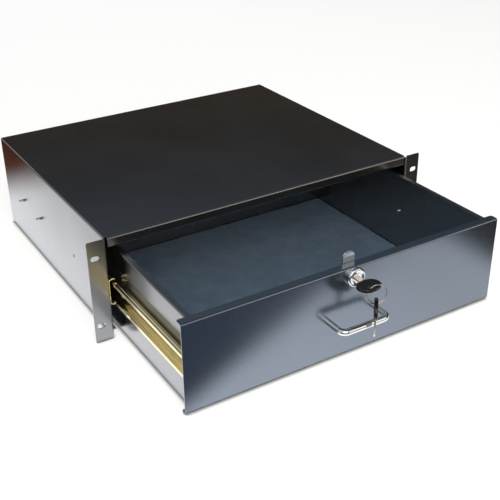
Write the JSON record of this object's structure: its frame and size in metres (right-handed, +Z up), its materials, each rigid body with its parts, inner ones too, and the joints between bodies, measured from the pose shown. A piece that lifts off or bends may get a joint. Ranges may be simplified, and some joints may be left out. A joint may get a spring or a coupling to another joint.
{
  "type": "sliding rack drawer",
  "caption": "Lockable sheet-steel drawer on ball slides in a casing with slotted ears that bolt to a 19 inch rack, with a D handle and a cam lock with its keys.",
  "frame": {"origin": "centre of the four ear slots, on the ears' rear face, which meets the rack's posts", "axes": "+X across the rack, to the right seen from the front; +Y from the front to the back; +Z up"},
  "size_m": [0.4826, 0.5878, 0.1324],
  "materials": {
    "black_powder_coat": "fine-textured satin black powder coat on folded sheet steel",
    "yellow_zinc": "yellow-passivated zinc plate on roll-formed steel",
    "chrome_plate": "bright chrome plate",
    "bright_zinc": "bright zinc plate",
    "nickel_plate": "polished nickel plate",
    "ball_steel": "polished hardened steel",
    "mat_rubber": "matt slate-blue anti-slip mat with a fine grain",
    "black_plastic": "glossy black moulded plastic"
  },
  "bodies": {
    "casing": {"casing_shell": "black_powder_coat", "rear_panel": "black_powder_coat", "rear_rivets": "bright_zinc", "slide_outer_left": "yellow_zinc", "slide_outer_right": "yellow_zinc", "casing_screws_left": "bright_zinc", "casing_screws_right": "bright_zinc"},
    "drawer": {"front_panel": "black_powder_coat", "drawer_tray": "black_powder_coat", "floor_mat": "mat_rubber", "slide_inner_left": "yellow_zinc", "slide_inner_right": "yellow_zinc", "tray_screws_left": "bright_zinc", "tray_screws_right": "bright_zinc", "lock_body": "chrome_plate", "lock_nut": "chrome_plate", "handle": "chrome_plate", "handle_screws": "bright_zinc"},
    "cage_left": {"ball_cage_left": "bright_zinc", "slide_balls_left": "ball_steel"},
    "cage_right": {"ball_cage_right": "bright_zinc", "slide_balls_right": "ball_steel"},
    "lock_core": {"lock_plug": "chrome_plate", "lock_cam": "bright_zinc", "cam_washer": "bright_zinc", "cam_screw": "bright_zinc"},
    "key": {"key_blade": "nickel_plate", "key_head": "black_plastic"},
    "ring": {"key_ring": "nickel_plate"},
    "spare_key": {"spare_key_blade": "nickel_plate", "spare_key_head": "black_plastic"}
  },
  "joints": [
    {"name": "drawer_slide", "type": "slide", "parent": "casing", "child": "drawer", "axis": [0, -1, 0], "range_m": [-0.1736, 0.0804]},
    {"name": "cage_left_slide", "type": "slide", "parent": "casing", "child": "cage_left", "axis": [0, -1, 0], "range_m": [-0.0869, 0.0403]},
    {"name": "cage_right_slide", "type": "slide", "parent": "casing", "child": "cage_right", "axis": [0, -1, 0], "range_m": [-0.0869, 0.0403]},
    {"name": "lock_turn", "type": "hinge", "parent": "drawer", "child": "lock_core", "pos_m": [0, -0.1748, 0.03465], "axis": [0, 1, 0], "range_deg": [0, 90]},
    {"name": "key_pull", "type": "slide", "parent": "lock_core", "child": "key", "axis": [0, -1, 0], "range_m": [0, 0.02]},
    {"name": "ring_swing", "type": "hinge", "parent": "key", "child": "ring", "pos_m": [-0.002, -0.20552, 0.03595], "axis": [-0.9613, 0.2756, 0], "range_deg": [0, 18]},
    {"name": "spare_swing", "type": "hinge", "parent": "ring", "child": "spare_key", "pos_m": [0.0056, -0.2077, 0.01445], "axis": [-0.9613, 0.2756, 0], "range_deg": [0, 25]}
  ],
  "couplings": [
    {"joint": "cage_left_slide", "follows": "drawer_slide", "ratio": 0.5},
    {"joint": "cage_right_slide", "follows": "drawer_slide", "ratio": 0.5}
  ]
}
